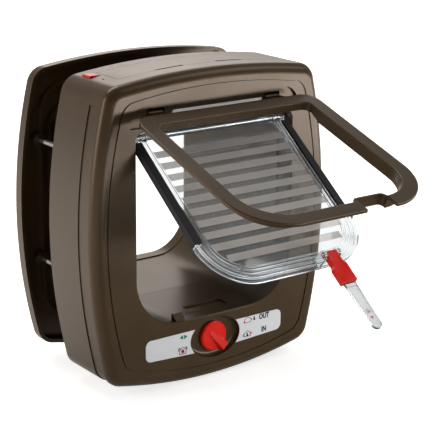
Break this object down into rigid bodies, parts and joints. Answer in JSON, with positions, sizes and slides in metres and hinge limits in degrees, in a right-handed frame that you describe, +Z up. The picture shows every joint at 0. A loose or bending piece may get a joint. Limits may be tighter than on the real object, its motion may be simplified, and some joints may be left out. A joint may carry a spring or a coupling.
{
  "type": "chip-reading cat flap",
  "caption": "Two-way cat flap for a door: clear striped flap, hinged draught frame, selector knob, battery housing and outdoor frame joined by long screws.",
  "frame": {"origin": "middle of the opening, in the plane where the back of the indoor housing meets the door", "axes": "+Z up, +Y outdoors, +X to the right seen from indoors"},
  "size_m": [0.225, 0.3157, 0.252],
  "materials": {
    "brown_plastic": "satin",
    "clear_plastic": "clear",
    "milky_plastic": "milky",
    "red_plastic": "gloss",
    "dark_plastic": "matt",
    "seal": "matt",
    "label": "printed film",
    "steel": "bright",
    "cell_wrap": "film",
    "board": "lacquered",
    "lamp": "tinted",
    "copper": "lacquered wire"
  },
  "bodies": {
    "housing": {"housing_shell": "brown_plastic", "front_cover": "brown_plastic", "sensor_window": "milky_plastic", "label_left": "label", "label_right": "label", "outer_frame": "brown_plastic", "outer_tunnel": "brown_plastic", "long_screw_1": "steel", "long_screw_2": "steel", "long_screw_3": "steel", "long_screw_4": "steel", "battery_1": "cell_wrap", "battery_2": "cell_wrap", "battery_3": "cell_wrap", "battery_4": "cell_wrap", "battery_contact_1": "steel", "battery_contact_2": "steel", "battery_contact_3": "steel", "battery_contact_4": "steel", "circuit_board": "board", "button_switch": "dark_plastic", "status_lamp": "lamp", "reader_coil": "copper"},
    "draught_frame": {"cover_frame": "brown_plastic"},
    "rod": {"hinge_rod": "steel"},
    "flap": {"flap_panel": "clear_plastic", "seal_left": "seal", "seal_right": "seal", "pointer_pin": "steel"},
    "pointer": {"pointer_block": "red_plastic", "pointer_tongue": "clear_plastic"},
    "selector": {"selector_knob": "red_plastic", "selector_cam": "dark_plastic"},
    "inner_catch": {"near_catch": "brown_plastic"},
    "outer_catch": {"far_catch": "brown_plastic"},
    "lid": {"battery_lid": "brown_plastic"},
    "button": {"learn_button": "red_plastic"}
  },
  "joints": [
    {"name": "cover_frame_hinge", "type": "hinge", "parent": "housing", "child": "draught_frame", "pos_m": [0, -0.0594, 0.09], "axis": [-1, 0, 0], "range_deg": [-71.4, 18.6]},
    {"name": "rod_turn", "type": "hinge", "parent": "housing", "child": "rod", "pos_m": [0, -0.0534, 0.0717], "axis": [-1, 0, 0], "range_deg": [-53.01, 13.9]},
    {"name": "flap_hinge", "type": "hinge", "parent": "rod", "child": "flap", "pos_m": [0, -0.0534, 0.0717], "axis": [-1, 0, 0], "range_deg": [-53, 0]},
    {"name": "pointer_hinge", "type": "hinge", "parent": "flap", "child": "pointer", "pos_m": [0.021, -0.17557, -0.00296], "axis": [-1, 0, 0], "range_deg": [0, 114.1]},
    {"name": "selector_turn", "type": "hinge", "parent": "housing", "child": "selector", "pos_m": [0, -0.06, -0.0977], "axis": [0, -1, 0], "range_deg": [0, 270]},
    {"name": "inner_catch_slide", "type": "slide", "parent": "housing", "child": "inner_catch", "axis": [0, 0, 1], "range_m": [-0.0058, 0.0025]},
    {"name": "outer_catch_slide", "type": "slide", "parent": "housing", "child": "outer_catch", "axis": [0, 0, 1], "range_m": [0, 0.009]},
    {"name": "battery_lid_lift", "type": "slide", "parent": "housing", "child": "lid", "axis": [0, 0, 1], "range_m": [0, 0.02]},
    {"name": "learn_button_press", "type": "slide", "parent": "housing", "child": "button", "axis": [0, 0, 1], "range_m": [-0.0008, 0], "stiffness_N_per_m": 400}
  ],
  "couplings": [
    {"joint": "rod_turn", "follows": "cover_frame_hinge", "ratio": 0.7423},
    {"joint": "pointer_hinge", "follows": "flap_hinge", "ratio": -2.15}
  ]
}
